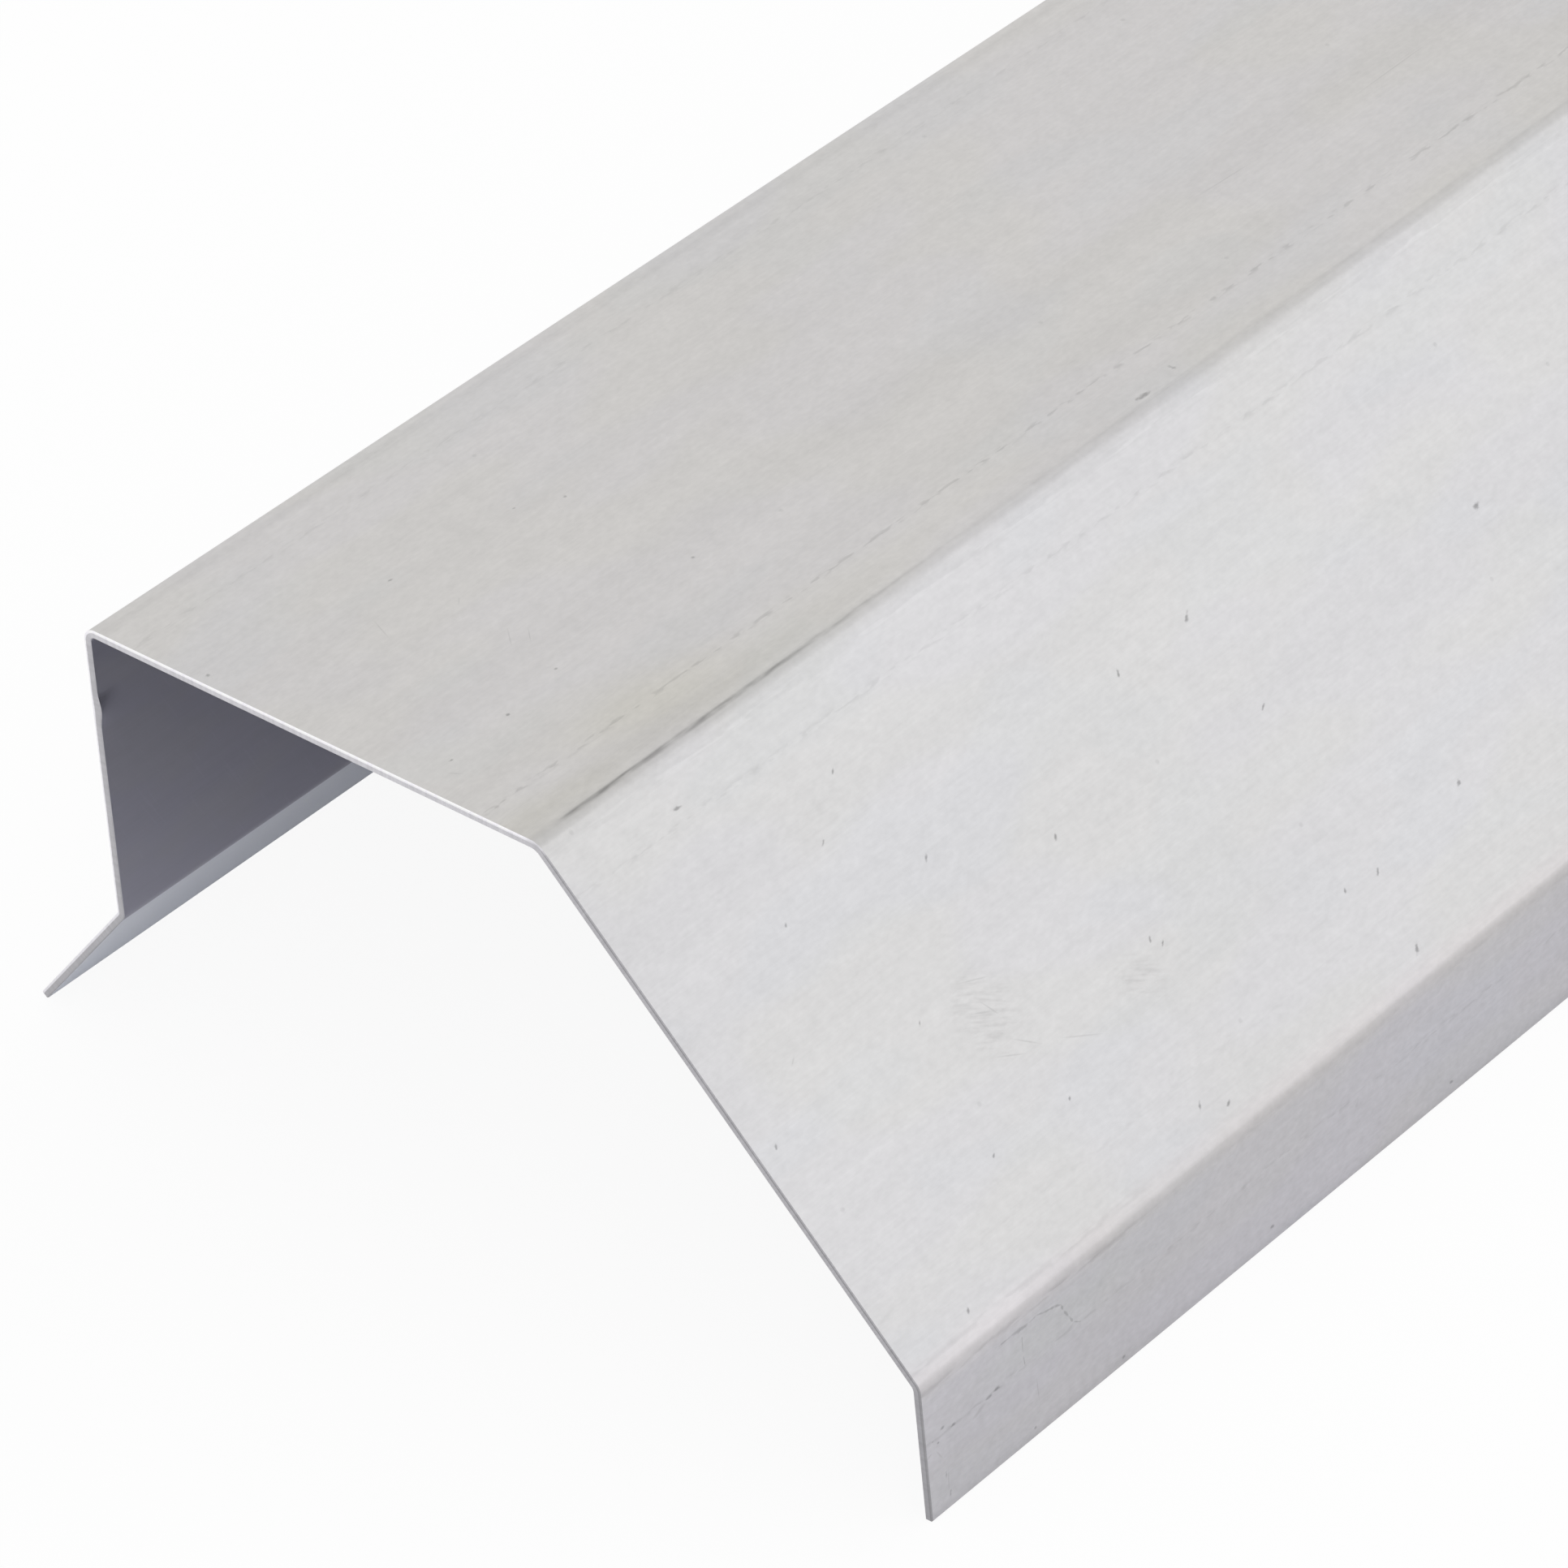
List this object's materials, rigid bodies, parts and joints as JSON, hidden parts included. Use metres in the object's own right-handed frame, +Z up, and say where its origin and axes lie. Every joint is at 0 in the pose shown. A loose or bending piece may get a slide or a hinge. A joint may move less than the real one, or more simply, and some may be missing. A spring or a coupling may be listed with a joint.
{
  "type": "fascia flashing",
  "caption": "Length of folded aluminium fascia flashing: kicked-out drip lip, upright flange, flat top, sloping apron and short drop edge.",
  "frame": {"origin": "on the floor, halfway between the outermost points of the lip and of the drop edge, at mid-length", "axes": "+Y along the stock, +Z up as the piece lies unheld on its two free edges, +X from the lip across the top to the drop edge"},
  "size_m": [0.1032, 2, 0.0495],
  "materials": {
    "sheet": "mill finish, fine rolled grain along the length, lightly scuffed"
  },
  "bodies": {
    "root": {"flashing": "sheet"}
  },
  "joints": []
}
